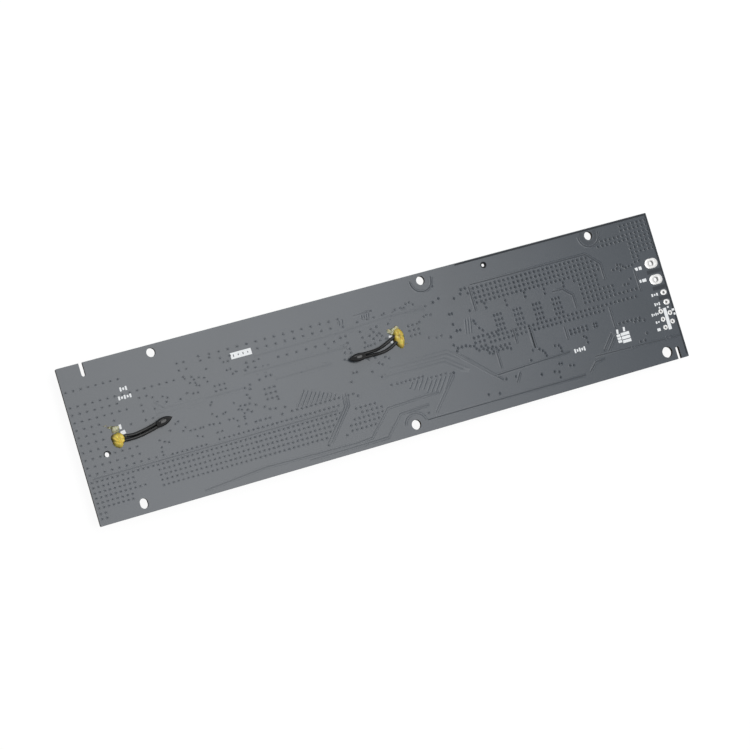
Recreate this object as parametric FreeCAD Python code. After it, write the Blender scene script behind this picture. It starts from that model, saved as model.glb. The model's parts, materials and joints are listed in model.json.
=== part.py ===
"""A long battery management board for thirteen cells in series.

The board lies with its soldered face up and its components hanging below, and it rests on
its four electrolytic capacitors. Lengths are in millimetres. The origin is under the middle
of the board, at the level of the capacitor tops. X runs along the board towards the wire
pads, Y across it, and Z up out of the soldered face.
"""
import FreeCAD, Part
import math
import os

V = FreeCAD.Vector

# Board. One cell of the battery takes one pitch of the board's length.
cell_count = 13
cell_pitch = 19.2
end_margin = 4.2
board_length = cell_count * cell_pitch + 2 * end_margin
board_width = 62.35
board_thickness = 1.6
corner_radius = 0.4
can_height = 6.2
board_bottom = can_height
board_top = board_bottom + board_thickness

# Screw holes, in columns counted in cell pitches from the middle of the board. The oval one
# takes up the spread of the others.
upper_screw_radius = 1.8
upper_screw_inset = 3.1
middle_screw_radius = 2.0
right_screw_radius = 2.3
lower_screw_inset = 4.0
oval_screw_width = 3.2
oval_screw_length = 4.1
upper_screw_columns = (-4.75, 1.25, 5.25)
middle_screw_column = 0.25
right_screw_column = 6.25
oval_screw_column = -5.75
peg_radius = 1.0
upper_peg_column = 2.72
upper_peg_inset = 3.6
left_peg_height = -5.4
left_peg_inset = 10.2

# Slots cut in from the long edges, with round ends
slot_width = 1.6
left_slot_inset = 10.0
left_slot_depth = 5.4
right_slot_inset = 4.2
right_slot_depth = 5.2

# How far a cutting tool runs past the face that it cuts
cut_past = 1.0

# Tinned holes for wires, near the right end
land_thickness = 0.12
power_land_length = 6.0
power_land_width = 4.2
power_hole_radius = 1.1
power_land_inset = 4.3
power_land_heights = (10.2, 3.2)
charge_land_length = 2.9
charge_land_width = 2.3
charge_hole_radius = 0.5
charge_land_inset = 2.7
charge_land_heights = (-2.8, -7.0)
signal_land_radius = 1.05
signal_hole_radius = 0.45
signal_inner_inset = 6.5
signal_outer_inset = 2.6
signal_inner_heights = (-10.2, -13.6, -17.1)
signal_outer_heights = (-11.7, -15.4)

# Flat lands for the cell straps, alternately along the two long edges of the lower face
tap_length = 5.0
tap_width = 4.0
tap_inset = 3.2
tap_thickness = 0.1

# Temperature probes: a bead of epoxy on two sleeved legs, glued down where they enter the board
sleeve_radius = 0.64
sleeve_clearance = 0.03
sleeve_lift = 0.36
bend_share = 0.12
bead_neck_radius = 1.45
bead_neck_length = 1.2
bead_radius = 1.65
bead_drum_length = 1.8
bead_taper_length = 2.6
bead_taper_radius = 0.95
bead_tip_length = 1.4
bead_tip_radius = 0.25
bead_clearance = 0.05
bead_grip = 1.4
bead_axis_height = bead_radius + bead_clearance
sleeve_height = sleeve_radius + sleeve_lift
glue_height = 2.6
glue_shoulder_height = 1.5
glue_shoulder_share = 0.82
glue_crown_share = 0.4

# A probe's route gives the middle line between its two legs, from the glue to the bead,
# measured from the middle of the glue: along, across, half of the space between the sleeves.
# Its glue is one or two round mounds that run together: along, across, radius.
left_probe = {
    "place": (-5.89 * cell_pitch, -1.3),
    "route": ((0.9, 0.2, 0.3), (7.2, -0.35, 0.04), (17.1, 2.1, 0.0)),
    "glue": ((0.0, 0.0, 2.75),),
}
middle_probe = {
    "place": (0.4375 * cell_pitch, 8.0),
    "route": ((-0.4, 0.4, 0.5), (-7.9, -3.0, 0.4), (-17.9, -3.15, 0.0)),
    "glue": ((-0.15, 1.3, 2.5), (0.15, -1.35, 2.4)),
}

# Power transistors, drain tab under the case
power_lead_spread = 4.57
power_case_margin = 1.0
power_case_depth = 6.1
power_case_height = 2.3
power_slab_width = 5.3
power_slab_thickness = 0.5
power_slab_reach = 1.0
power_slab_notch = 0.6
power_lead_width = 0.75
power_lead_reach = 2.7
power_lead_foot = 1.2
power_lead_thickness = 0.5
power_lead_level = 1.0
power_case_length = power_lead_spread + 2 * power_case_margin
power_gap = 2.28
power_pitch = power_case_length + power_gap
transistors_a_row = 4
discharge_middle = (3.61 * cell_pitch, 4.0)
charge_row_gap = 1.0

# Current sensing resistors, three side by side
shunt_length = 6.4
shunt_width = 3.2
shunt_height = 0.7
shunt_cap = 1.3
shunt_gap = 1.0
shunt_count = 3
shunt_middle = (2.3 * cell_pitch, 2.0)

# Balancing: one resistor for each cell
balance_resistor_length = 5.0
balance_resistor_width = 2.5
balance_resistor_height = 0.6
balance_resistor_cap = 0.6
balance_column_gap = 1.7
balance_pitch = balance_resistor_width + balance_column_gap
balance_inset = 14.825
balance_middle = (-2.1875 * cell_pitch, board_width / 2 - balance_inset)

# Controller, with leads on all four sides
controller_leads_a_side = 8
controller_pitch = 0.8
controller_margin = 0.7
controller_height = 1.4
controller_lead_width = 0.35
controller_lead_reach = 1.0
controller_gap = 2.45
controller_side = (controller_leads_a_side - 1) * controller_pitch + 2 * controller_margin
controller_top = balance_middle[1] - balance_resistor_length / 2 - controller_gap
controller_middle = (-3.583 * cell_pitch, controller_top - controller_lead_reach - controller_side / 2)

# Cell monitor, with leads along its two long sides
monitor_leads_a_side = 15
monitor_pitch = 0.65
monitor_margin = 0.35
monitor_depth = 6.1
monitor_height = 1.05
monitor_lead_width = 0.28
monitor_lead_reach = 1.0
monitor_middle = (-2.58 * cell_pitch, 1.0)

# Eight-lead packages: the voltage regulator and the data line driver
small_leads_a_side = 4
small_pitch = 1.27
small_margin = 0.545
small_depth = 3.9
small_height = 1.5
small_lead_width = 0.42
small_lead_reach = 1.05
regulator_middle = (0.776 * cell_pitch, 8.6)
driver_middle = (5.73 * cell_pitch, -17.2)

# Lead frame of all the small packages
frame_thickness = 0.16
frame_foot = 0.5
case_lift = 0.1
case_draft = 0.12

# Filters on the sense lines
chip_length = 1.6
chip_width = 0.8
chip_cap = 0.3
resistor_height = 0.45
capacitor_height = 0.8
chip_pitch = 2.0
chip_row_gap = 1.3
chip_cap_proud = 0.03
filter_middle = (-1.536 * cell_pitch, -7.3)

# Supply choke: a wound drum inside a square ring
choke_side = 7.3
choke_height = 4.4
choke_corner = 1.3
choke_bore_radius = 3.0
choke_ring_gap = 0.25
choke_clip_width = 3.0
choke_clip_thickness = 0.15
choke_clip_rise = 1.6
choke_clip_under = 1.5
choke_middle = (1.43 * cell_pitch, 7.6)

# Electrolytic capacitors, which the board stands on
can_radius = 4.0
can_base_side = 8.3
can_base_corner = 1.5
can_base_height = 1.2
can_groove_depth = 0.35
can_groove_width = 1.3
can_edge = 0.4
can_foot_width = 0.8
can_foot_thickness = 0.1
can_foot_reach = 0.5
can_foot_length = 2.6
can_places = (
    (-5.4 * cell_pitch, 14.0),
    (-5.2 * cell_pitch, -17.5),
    (5.4 * cell_pitch, 17.6),
    (4.9 * cell_pitch, -18.5),
)

# Diodes with flat leads folded under the case: two clamps on the pack line, one rectifier
clamp_length = 4.6
clamp_depth = 3.6
clamp_height = 2.3
clamp_lead_width = 2.0
clamp_gap = 1.6
clamp_middle = (6.0 * cell_pitch, 17.4)
rectifier_length = 4.3
rectifier_depth = 2.6
rectifier_height = 2.1
rectifier_lead_width = 1.4
rectifier_middle = (1.9 * cell_pitch, 12.0)
fold_thickness = 0.2
fold_reach = 0.35
fold_under = 1.0

# Crystal: a metal lid on a ceramic tray
crystal_length = 3.2
crystal_width = 2.5
crystal_tray_height = 0.5
crystal_lid_height = 0.25
crystal_lid_inset = 0.2
crystal_middle = (-4.1 * cell_pitch, controller_middle[1])

# Fuse: a ceramic tube with metal caps
fuse_length = 6.1
fuse_side = 2.5
fuse_cap = 1.3
fuse_cap_proud = 0.1
fuse_middle = (5.73 * cell_pitch, 8.4)


def box(low, high):
    """A block between its lowest and highest corners."""
    size = [b - a for a, b in zip(low, high)]
    return Part.makeBox(size[0], size[1], size[2], V(*low))


def prism(points, direction):
    """The flat outline through the points, drawn out along a vector."""
    corners = [V(*point) for point in points]
    return Part.Face(Part.makePolygon(corners + corners[:1])).extrude(V(*direction))


def stadium(x, y, low, high, length, width):
    """A block with half-round ends along X, or along Y where its width is the greater."""
    radius = min(length, width) / 2
    reach = abs(length - width) / 2
    if reach == 0:
        return Part.makeCylinder(radius, high - low, V(x, y, low))
    shape = box((-reach, -radius, low), (reach, radius, high))
    for end in (-reach, reach):
        shape = shape.fuse(Part.makeCylinder(radius, high - low, V(end, 0, low)))
    shape = shape.removeSplitter()
    if width > length:
        shape.rotate(V(0, 0, 0), V(0, 0, 1), 90)
    shape.translate(V(x, y, 0))
    return shape


def seat(shape, x, y, turn=0):
    """Hang a package, drawn standing on z = 0, under the board."""
    placed = shape.copy()
    placed.rotate(V(0, 0, 0), V(0, 0, 1), turn)
    placed.rotate(V(0, 0, 0), V(1, 0, 0), 180)
    placed.translate(V(x, y, board_bottom))
    return placed


def spread(count, pitch):
    """Offsets of a row of equally spaced things, about its middle."""
    return [(number - (count - 1) / 2) * pitch for number in range(count)]


def moulded_case(length, depth, low, high, band_low, band_high):
    """A moulded case, which tapers both ways from the band where its lead frame comes out."""
    def outline(half):
        flat = half - case_draft
        return (
            (-flat, low), (flat, low), (half, band_low), (half, band_high),
            (flat, high), (-flat, high), (-half, band_high), (-half, band_low),
        )
    along = prism([(a, -depth / 2, z) for a, z in outline(length / 2)], (0, depth, 0))
    across = prism([(-length / 2, a, z) for a, z in outline(depth / 2)], (length, 0, 0))
    return along.common(across)


def gull_lead(reach, level, foot, thickness, width):
    """A lead that leaves the case at a level, slopes down and runs flat along the board."""
    heel = reach - foot
    profile = (
        (0, level - thickness), (heel, 0), (reach, 0),
        (reach, thickness), (heel + thickness, thickness), (0, level),
    )
    return prism([(x, -width / 2, z) for x, z in profile], (0, width, 0))


def folded_lead(reach, level, under, thickness, width):
    """A flat lead that leaves the case at a level, turns down and folds in under the case."""
    profile = (
        (0, level - thickness), (0, level), (reach, level), (reach, 0), (-under, 0), (-under, thickness),
        (reach - thickness, thickness), (reach - thickness, level - thickness),
    )
    return prism([(x, -width / 2, z) for x, z in profile], (0, width, 0))


def side_leads(lead, offsets, case_half, turn):
    """Copies of a lead along one side of a case, turned to that side."""
    leads = []
    for offset in offsets:
        placed = lead.copy()
        placed.translate(V(case_half, offset, 0))
        placed.rotate(V(0, 0, 0), V(0, 0, 1), turn)
        leads.append(placed)
    return leads


def small_package(count, pitch, margin, depth, height, lead_width, reach, sides):
    """A case and its gull-wing leads, with as many leads on each of two or four sides."""
    level = case_lift + height / 2 + frame_thickness / 2
    length = (count - 1) * pitch + 2 * margin
    lead = gull_lead(reach, level, frame_foot, frame_thickness, lead_width)
    case = moulded_case(length, depth, case_lift, case_lift + height, level - frame_thickness, level)
    leads = []
    for turn in sides:
        half = depth / 2 if turn in (90, 270) else length / 2
        leads += side_leads(lead, spread(count, pitch), half, turn)
    return case, leads


def chip(length, width, height, cap, proud=chip_cap_proud):
    """A two-ended chip: a body between two solder caps that stand slightly proud of it."""
    half = length / 2
    body = box((-half + cap, -width / 2 + proud, proud), (half - cap, width / 2 - proud, height - proud))
    ends = [
        box((-half, -width / 2, 0), (-half + cap, width / 2, height)),
        box((half - cap, -width / 2, 0), (half, width / 2, height)),
    ]
    return body, ends


def rounded_run(points, name):
    """A path of straight runs joined by tangent arcs, each as large as its two runs allow."""
    edges = []
    start = points[0]
    radii = []
    for before, corner, after in zip(points, points[1:], points[2:]):
        towards = (before - corner).normalize()
        away = (after - corner).normalize()
        turn = math.pi - towards.getAngle(away)
        tangent = bend_share * min((before - corner).Length, (after - corner).Length)
        radius = tangent / math.tan(turn / 2)
        radii.append(round(radius, 1))
        bisector = (towards + away).normalize()
        inside = radius / math.cos(turn / 2) - radius
        first = corner + towards * tangent
        last = corner + away * tangent
        edges.append(Part.LineSegment(start, first).toShape())
        edges.append(Part.Arc(first, corner + bisector * inside, last).toShape())
        start = last
    edges.append(Part.LineSegment(start, points[-1]).toShape())
    print(name, "bend radii", radii)
    return Part.Wire(edges)


def tube(path, start, direction, radius):
    """A round bar of one radius along a path."""
    ring = Part.Wire([Part.makeCircle(radius, start, direction)])
    return path.makePipeShell([ring], True, False)


def leg_points(probe, side):
    """Corner points of one sleeved leg of a probe, on one side of the middle line."""
    x0, y0 = probe["place"]
    middle = [V(x0 + x, y0 + y, 0) for x, y, gap in probe["route"]]
    heights = [sleeve_height, sleeve_height, bead_axis_height]
    points = []
    for number, (x, y, gap) in enumerate(probe["route"]):
        before = middle[max(number - 1, 0)]
        after = middle[min(number + 1, len(middle) - 1)]
        if number == len(middle) - 2:
            before = middle[number]
        along = (after - before).normalize()
        offset = V(-along.y, along.x, 0) * side * (sleeve_radius + sleeve_clearance + gap)
        points.append(middle[number] + offset + V(0, 0, board_top + heights[number]))
    return points


def probe_bead(legs):
    """The epoxy bead: a drop turned about its own axis, with the two sleeves let into its neck."""
    end = (legs[0][-1] + legs[1][-1]) * 0.5
    run = legs[0][-1] - legs[0][-2] + legs[1][-1] - legs[1][-2]
    along = V(run.x, run.y, 0).normalize()
    stations = (
        (bead_neck_length, bead_radius), (bead_drum_length, bead_radius),
        (bead_taper_length, bead_taper_radius), (bead_tip_length, bead_tip_radius),
    )
    reach = 0
    profile = [V(0, 0, 0), V(0, 0, bead_neck_radius)]
    for length, radius in stations:
        reach += length
        profile.append(V(reach, 0, radius))
    profile.append(V(reach, 0, 0))
    bead = Part.Face(Part.makePolygon(profile + profile[:1])).revolve(V(0, 0, 0), V(1, 0, 0), 360)
    bead.rotate(V(0, 0, 0), V(0, 0, 1), math.degrees(math.atan2(along.y, along.x)))
    bead.translate(end - along * bead_grip)
    return bead


def glue_mound(probe):
    """The glue over the ends of the legs: round mounds that run together, flat on the board."""
    x0, y0 = probe["place"]
    mounds = []
    for x, y, radius in probe["glue"]:
        shoulder = radius * glue_shoulder_share
        crown = radius * glue_crown_share
        profile = (
            (0, 0), (radius, 0), (shoulder, glue_shoulder_height), (crown, glue_height), (0, glue_height),
        )
        corners = [V(r, 0, z) for r, z in profile]
        mound = Part.Face(Part.makePolygon(corners + corners[:1])).revolve(V(0, 0, 0), V(0, 0, 1), 360)
        mound.translate(V(x0 + x, y0 + y, board_top))
        mounds.append(mound)
    if len(mounds) == 1:
        return mounds[0]
    return mounds[0].fuse(mounds[1:]).removeSplitter()


def probe_parts(probe, name):
    """The solids of one probe: sleeves, bead and glue."""
    legs = [leg_points(probe, side) for side in (1, -1)]
    sleeves = []
    for points in legs:
        path = rounded_run(points, name)
        sleeves.append(tube(path, points[0], points[1] - points[0], sleeve_radius))
    bead = probe_bead(legs).cut(sleeves)
    glue = glue_mound(probe).cut(sleeves)
    return {name + "_sleeves": sleeves, name + "_bead": [bead], name + "_glue": [glue]}


def wire_places():
    """Every wire hole: its place, the size of its land and the radius of its hole."""
    end = board_length / 2
    power = [
        (end - power_land_inset, y, power_land_length, power_land_width, power_hole_radius)
        for y in power_land_heights
    ]
    charge = [
        (end - charge_land_inset, y, charge_land_length, charge_land_width, charge_hole_radius)
        for y in charge_land_heights
    ]
    side = 2 * signal_land_radius
    spots = [(end - signal_inner_inset, y) for y in signal_inner_heights]
    spots += [(end - signal_outer_inset, y) for y in signal_outer_heights]
    signal = [(x, y, side, side, signal_hole_radius) for x, y in spots]
    return {"power_wire_lands": power, "charge_wire_lands": charge, "signal_wire_lands": signal}


def wire_land(x, y, length, width, hole_radius):
    """A tinned land round a wire hole."""
    land = stadium(x, y, board_top, board_top + land_thickness, length, width)
    return land.cut(round_cutter(x, y, hole_radius))


def tap_places():
    """The cell strap lands: one at each boundary between cells, on alternate long edges."""
    places = []
    for number in range(cell_count + 1):
        side = 1 if number % 2 else -1
        x = (number - cell_count / 2) * cell_pitch
        places.append((x, side * (board_width / 2 - tap_inset)))
    return places


def round_cutter(x, y, radius):
    """What drills a round hole through the board."""
    return Part.makeCylinder(radius, board_thickness + 2 * cut_past, V(x, y, board_bottom - cut_past))


def slot_cutter(x, side, depth):
    """What cuts a slot with a round end in from a long edge."""
    inner = side * (board_width / 2 - depth + slot_width / 2)
    outer = side * (board_width / 2 + cut_past)
    low = (x - slot_width / 2, min(inner, outer), board_bottom - cut_past)
    high = (x + slot_width / 2, max(inner, outer), board_top + cut_past)
    return box(low, high).fuse(round_cutter(x, inner, slot_width / 2))


def circuit_board():
    """The board: a rectangle with rounded corners, its screw holes, slots and wire holes."""
    half = (board_length / 2, board_width / 2)
    board = box((-half[0], -half[1], board_bottom), (half[0], half[1], board_top))
    upright = [edge for edge in board.Edges if edge.BoundBox.ZLength > board_thickness / 2]
    board = board.makeFillet(corner_radius, upright)
    upper = board_width / 2 - upper_screw_inset
    lower = -board_width / 2 + lower_screw_inset
    upper_peg = board_width / 2 - upper_peg_inset
    cutters = [
        round_cutter(column * cell_pitch, upper, upper_screw_radius) for column in upper_screw_columns
    ]
    cutters.append(round_cutter(middle_screw_column * cell_pitch, lower, middle_screw_radius))
    cutters.append(round_cutter(right_screw_column * cell_pitch, lower, right_screw_radius))
    low = board_bottom - cut_past
    high = board_top + cut_past
    oval_x = oval_screw_column * cell_pitch
    cutters.append(stadium(oval_x, lower, low, high, oval_screw_width, oval_screw_length))
    cutters.append(round_cutter(upper_peg_column * cell_pitch, upper_peg, peg_radius))
    cutters.append(round_cutter(-board_length / 2 + left_peg_inset, left_peg_height, peg_radius))
    cutters.append(slot_cutter(-board_length / 2 + left_slot_inset, 1, left_slot_depth))
    cutters.append(slot_cutter(board_length / 2 - right_slot_inset, -1, right_slot_depth))
    for places in wire_places().values():
        for x, y, length, width, hole_radius in places:
            cutters.append(round_cutter(x, y, hole_radius))
    return board.cut(cutters)


def power_transistor():
    """A power transistor: a case over the slab that its chip sits on, and two gull-wing leads."""
    half = power_case_depth / 2
    level = power_lead_level
    band = level - power_lead_thickness
    case = moulded_case(power_case_length, power_case_depth, 0, power_case_height, band, level)
    side = power_slab_width / 2
    back = half + power_slab_reach
    front = -half + power_case_margin
    outline = (
        (-side, front), (side, front), (side, back - power_slab_notch), (side - power_slab_notch, back),
        (-side + power_slab_notch, back), (-side, back - power_slab_notch),
    )
    slab = prism([(x, y, 0) for x, y in outline], (0, 0, power_slab_thickness))
    lead = gull_lead(power_lead_reach, level, power_lead_foot, power_lead_thickness, power_lead_width)
    leads = side_leads(lead, spread(2, power_lead_spread), half, 270)
    return case.cut(slab), [slab] + leads


def power_row(count, middle, turn):
    """A row of power transistors: their cases, and their metal."""
    case, metal = power_transistor()
    cases = []
    frames = []
    for offset in spread(count, power_pitch):
        x = middle[0] + offset
        cases.append(seat(case, x, middle[1], turn))
        frames += [seat(piece, x, middle[1], turn) for piece in metal]
    return cases, frames


def chip_row(count, pitch, middle, sizes, turn):
    """A row of two-ended chips: their bodies, and their caps."""
    body, ends = chip(*sizes)
    bodies = []
    caps = []
    for offset in spread(count, pitch):
        x = middle[0] + offset
        bodies.append(seat(body, x, middle[1], turn))
        caps += [seat(end, x, middle[1], turn) for end in ends]
    return bodies, caps


def choke():
    """The supply choke: square ring, wound drum and its two clips."""
    half = choke_side / 2
    cut = half - choke_corner
    low = choke_clip_thickness
    outline = (
        (-half, -cut), (-cut, -half), (cut, -half), (half, -cut),
        (half, cut), (cut, half), (-cut, half), (-half, cut),
    )
    height = choke_height - low
    ring = prism([(x, y, low) for x, y in outline], (0, 0, height))
    ring = ring.cut(Part.makeCylinder(choke_bore_radius, height, V(0, 0, low)))
    drum = Part.makeCylinder(choke_bore_radius - choke_ring_gap, height, V(0, 0, low))
    thickness = choke_clip_thickness
    profile = (
        (half, low), (half, choke_clip_rise), (half + thickness, choke_clip_rise), (half + thickness, 0),
        (half - choke_clip_under, 0), (half - choke_clip_under, low),
    )
    clip = prism([(x, -choke_clip_width / 2, z) for x, z in profile], (0, choke_clip_width, 0))
    clips = side_leads(clip, [0], 0, 0) + side_leads(clip, [0], 0, 180)
    return ring, drum, clips


def electrolytic():
    """An electrolytic capacitor: a rolled can on a square plastic base, with two flat feet."""
    half = can_base_side / 2
    cut = half - can_base_corner
    low = can_foot_thickness
    outline = ((-half, -half), (half, -half), (half, cut), (cut, half), (-cut, half), (-half, cut))
    base = prism([(x, y, low) for x, y in outline], (0, 0, can_base_height - low))
    waist = can_radius - can_groove_depth
    side = (
        (0, can_base_height), (can_radius, can_base_height),
        (waist, can_base_height + can_groove_width / 2), (can_radius, can_base_height + can_groove_width),
        (can_radius, can_height - can_edge), (can_radius - can_edge, can_height), (0, can_height),
    )
    corners = [V(radius, 0, z) for radius, z in side]
    can = Part.Face(Part.makePolygon(corners + corners[:1])).revolve(V(0, 0, 0), V(0, 0, 1), 360)
    tip = half + can_foot_reach
    foot = box((tip - can_foot_length, -can_foot_width / 2, 0), (tip, can_foot_width / 2, low))
    feet = side_leads(foot, [0], 0, 0) + side_leads(foot, [0], 0, 180)
    return can, base, feet


def folded_diode(length, depth, height, lead_width):
    """A diode in a moulded case, with a flat lead folded under each end."""
    level = height / 2 + fold_thickness
    case = moulded_case(length, depth, fold_thickness, height, level - fold_thickness, level)
    lead = folded_lead(fold_reach, level, fold_under, fold_thickness, lead_width)
    return case, side_leads(lead, [0], length / 2, 0) + side_leads(lead, [0], length / 2, 180)


def fuse():
    """The fuse: a square ceramic body in two proud metal caps."""
    return chip(fuse_length, fuse_side, fuse_side, fuse_cap, fuse_cap_proud)


def crystal():
    """The crystal: a ceramic tray and the metal lid on it."""
    half = (crystal_length / 2, crystal_width / 2)
    inset = crystal_lid_inset
    top = crystal_tray_height + crystal_lid_height
    tray = box((-half[0], -half[1], 0), (half[0], half[1], crystal_tray_height))
    low = (-half[0] + inset, -half[1] + inset, crystal_tray_height)
    lid = box(low, (half[0] - inset, half[1] - inset, top))
    return tray, lid


def build():
    """Every node of the board, by name, as a list of its solids."""
    nodes = {}
    for name, probe in (("left_probe", left_probe), ("middle_probe", middle_probe)):
        nodes.update(probe_parts(probe, name))
    nodes["circuit_board"] = [circuit_board()]
    for name, places in wire_places().items():
        nodes[name] = [wire_land(*place) for place in places]
    nodes["cell_tap_lands"] = [
        box(
            (x - tap_length / 2, y - tap_width / 2, board_bottom - tap_thickness),
            (x + tap_length / 2, y + tap_width / 2, board_bottom),
        )
        for x, y in tap_places()
    ]

    cases, frames = power_row(transistors_a_row, discharge_middle, 180)
    nodes["discharge_transistor_cases"] = cases
    nodes["discharge_transistor_frames"] = frames
    row_depth = power_case_depth + power_lead_reach + power_slab_reach
    charge_middle = (discharge_middle[0], discharge_middle[1] - row_depth - charge_row_gap)
    cases, frames = power_row(transistors_a_row, charge_middle, 180)
    nodes["charge_transistor_cases"] = cases
    nodes["charge_transistor_frames"] = frames

    shunt = (shunt_length, shunt_width, shunt_height, shunt_cap)
    nodes["shunt_bodies"] = []
    nodes["shunt_terminals"] = []
    for offset in spread(shunt_count, shunt_width + shunt_gap):
        bodies, caps = chip_row(1, 0, (shunt_middle[0], shunt_middle[1] + offset), shunt, 0)
        nodes["shunt_bodies"] += bodies
        nodes["shunt_terminals"] += caps

    packages = {
        "controller": (
            (controller_leads_a_side, controller_pitch, controller_margin, controller_side,
             controller_height, controller_lead_width, controller_lead_reach, (0, 90, 180, 270)),
            controller_middle,
        ),
        "cell_monitor": (
            (monitor_leads_a_side, monitor_pitch, monitor_margin, monitor_depth, monitor_height,
             monitor_lead_width, monitor_lead_reach, (90, 270)),
            monitor_middle,
        ),
    }
    small = (small_leads_a_side, small_pitch, small_margin, small_depth, small_height,
             small_lead_width, small_lead_reach, (90, 270))
    packages["regulator"] = (small, regulator_middle)
    packages["line_driver"] = (small, driver_middle)
    for name, (sizes, middle) in packages.items():
        case, leads = small_package(*sizes)
        nodes[name + "_case"] = [seat(case, *middle)]
        nodes[name + "_leads"] = [seat(lead, *middle) for lead in leads]

    sizes = (
        balance_resistor_length, balance_resistor_width, balance_resistor_height, balance_resistor_cap,
    )
    bodies, caps = chip_row(cell_count, balance_pitch, balance_middle, sizes, 90)
    nodes["balance_resistor_bodies"] = bodies
    nodes["balance_resistor_caps"] = caps

    resistor = (chip_length, chip_width, resistor_height, chip_cap)
    capacitor = (chip_length, chip_width, capacitor_height, chip_cap)
    bodies, caps = chip_row(cell_count, chip_pitch, filter_middle, resistor, 90)
    nodes["filter_resistor_bodies"] = bodies
    nodes["filter_resistor_caps"] = caps
    next_row = (filter_middle[0], filter_middle[1] - chip_length - chip_row_gap)
    bodies, caps = chip_row(cell_count, chip_pitch, next_row, capacitor, 90)
    nodes["filter_capacitor_bodies"] = bodies
    nodes["filter_capacitor_caps"] = caps

    ring, drum, clips = choke()
    nodes["choke_ring"] = [seat(ring, *choke_middle)]
    nodes["choke_drum"] = [seat(drum, *choke_middle)]
    nodes["choke_clips"] = [seat(clip, *choke_middle) for clip in clips]

    can, base, feet = electrolytic()
    nodes["capacitor_cans"] = [seat(can, *place) for place in can_places]
    nodes["capacitor_bases"] = [seat(base, *place) for place in can_places]
    nodes["capacitor_feet"] = [seat(foot, *place) for place in can_places for foot in feet]

    case, leads = folded_diode(clamp_length, clamp_depth, clamp_height, clamp_lead_width)
    nodes["clamp_diode_cases"] = []
    nodes["clamp_diode_leads"] = []
    for offset in spread(2, clamp_depth + clamp_gap):
        place = (clamp_middle[0], clamp_middle[1] + offset)
        nodes["clamp_diode_cases"].append(seat(case, *place))
        nodes["clamp_diode_leads"] += [seat(lead, *place) for lead in leads]
    case, leads = folded_diode(rectifier_length, rectifier_depth, rectifier_height, rectifier_lead_width)
    nodes["rectifier_case"] = [seat(case, *rectifier_middle)]
    nodes["rectifier_leads"] = [seat(lead, *rectifier_middle) for lead in leads]

    tray, lid = crystal()
    nodes["crystal_tray"] = [seat(tray, *crystal_middle)]
    nodes["crystal_lid"] = [seat(lid, *crystal_middle)]
    body, caps = fuse()
    nodes["fuse_body"] = [seat(body, *fuse_middle)]
    nodes["fuse_caps"] = [seat(cap, *fuse_middle) for cap in caps]
    return nodes


def main():
    """Build the nodes and write one file for each."""
    os.makedirs("parts", exist_ok=True)
    nodes = build()
    for name, solids in nodes.items():
        pieces = [solid for shape in solids for solid in shape.Solids]
        shape = pieces[0] if len(pieces) == 1 else Part.makeCompound(pieces)
        shape.exportStep("parts/" + name + ".step")
    print(len(nodes), "nodes,", sum(len(solids) for solids in nodes.values()), "solids")


main()
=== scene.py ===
# %% [markdown]
# # A battery management board
# A bare circuit board looks flat, but almost all that we see on it is relief a few hundredths of a
# millimetre high: copper under solder mask, the rims of small plated holes, print and solder. This
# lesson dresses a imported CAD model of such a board. The model gives every size and place. We add the
# relief as real geometry, make one finish for each material, and give the temperature probes and
# their glue the soft shapes that CAD leaves out.

# %% Load the frame
import json
import math

import bpy
import numpy as np
from mathutils import Matrix, Vector


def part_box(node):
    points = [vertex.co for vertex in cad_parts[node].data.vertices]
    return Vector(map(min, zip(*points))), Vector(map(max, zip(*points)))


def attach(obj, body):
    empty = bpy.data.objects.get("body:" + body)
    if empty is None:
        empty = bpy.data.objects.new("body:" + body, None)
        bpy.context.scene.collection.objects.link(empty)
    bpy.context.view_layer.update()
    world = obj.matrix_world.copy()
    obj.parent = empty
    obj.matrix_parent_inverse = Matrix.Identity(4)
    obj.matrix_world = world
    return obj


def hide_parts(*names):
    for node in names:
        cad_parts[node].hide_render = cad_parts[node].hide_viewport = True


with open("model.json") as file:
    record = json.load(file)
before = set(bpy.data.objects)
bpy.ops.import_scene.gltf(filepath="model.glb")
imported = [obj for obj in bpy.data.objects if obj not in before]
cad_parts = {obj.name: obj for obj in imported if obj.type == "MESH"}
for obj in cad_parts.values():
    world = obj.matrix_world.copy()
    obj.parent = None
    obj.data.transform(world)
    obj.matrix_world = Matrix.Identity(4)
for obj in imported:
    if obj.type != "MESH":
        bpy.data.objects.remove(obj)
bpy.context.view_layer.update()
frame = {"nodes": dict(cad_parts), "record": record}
mm = 0.001
board_low, board_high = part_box("circuit_board")
face, under = board_high.z, board_low.z
half_length, half_width = board_high.x, board_high.y
cell_pitch = 19.2 * mm
print("board", round(2 * half_length / mm, 2), "by", round(2 * half_width / mm, 2), "mm")
print("soldered face at", round(face / mm, 2), "mm")

# %% [markdown]
# ## Helpers for surfaces
# Every new piece is a grid of points: rows along a shape, columns round it. A grid needs only one list
# of faces, and numpy makes it for any size of grid. Where the columns close round a body, one
# many-sided face closes each end.

# %% Grids, closed tubes and copies
square = np.array([(-1, -1), (1, -1), (1, 1), (-1, 1)])


def grid_faces(rows, columns, loop_rows=False, loop_columns=False):
    """Quads of a grid of points. Corner (r, c) has number r * columns + c, and each quad goes
    (r, c), (r+1, c), (r+1, c+1), (r, c+1), so it faces along (row step) x (column step)."""
    r, c = np.indices((rows - (not loop_rows), columns - (not loop_columns)))
    here, ahead = r * columns, (r + 1) % rows * columns
    right = (c + 1) % columns
    return np.stack([here + c, ahead + c, ahead + right, here + right], -1).reshape(-1, 4)


def tube_faces(rows, columns):
    """Quads of a grid that closes on itself by columns, and one face for each end."""
    ring = np.arange(columns)[None]
    return [grid_faces(rows, columns, loop_columns=True), ring, (rows - 1) * columns + ring[:, ::-1]]


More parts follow.
